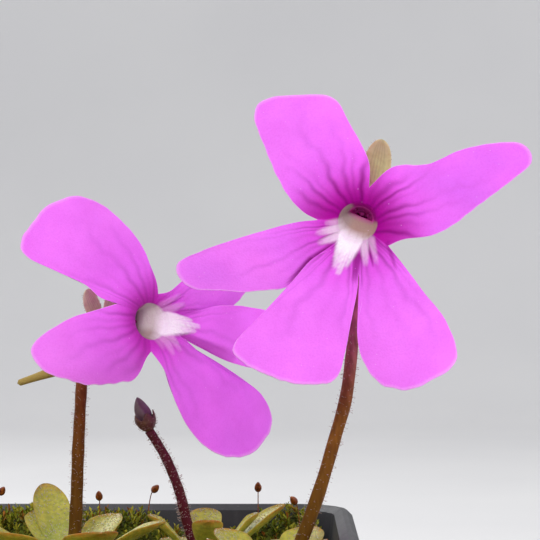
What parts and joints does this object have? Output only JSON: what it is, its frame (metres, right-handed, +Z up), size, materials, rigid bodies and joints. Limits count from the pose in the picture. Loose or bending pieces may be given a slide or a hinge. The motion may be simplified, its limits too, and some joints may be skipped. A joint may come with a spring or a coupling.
{
  "type": "potted butterwort in flower",
  "caption": "Low carnivorous rosette plants with magenta spurred flowers on bare stalks, growing in moss in a square nursery pot.",
  "frame": {"origin": "centre of the pot's flat base, on the surface that it stands on", "axes": "+Z up; +Y away from the side that the front flower faces; +X to the right seen from that side"},
  "size_m": [0.0905, 0.07, 0.119],
  "materials": {
    "pot": "dark grey moulded plastic, satin",
    "soil": "damp peat and fine grit",
    "moss": "yellow-green moss",
    "leaf": "succulent, greasy-looking leaf skin with fine glands",
    "scape": "brown-olive stalk with short glandular hairs",
    "bud_scape": "dark red stalk with short glandular hairs",
    "petal": "thin magenta petal with darker veins and a white throat stripe",
    "sepal": "olive-tan, finely hairy",
    "bud": "closed pale pink-grey petals",
    "pistil": "pale green"
  },
  "bodies": {
    "root": {"pot": "pot", "soil": "soil", "moss": "moss", "rosette_front": "leaf", "rosette_left": "leaf", "rosette_back": "leaf", "scape_front": "scape", "scape_left": "scape", "scape_bud": "bud_scape", "calyx_front": "sepal", "calyx_left": "sepal", "calyx_bud": "sepal", "corolla_front": "petal", "corolla_left": "petal", "corolla_bud": "bud", "pistil_front": "pistil", "pistil_left": "pistil"}
  },
  "joints": []
}
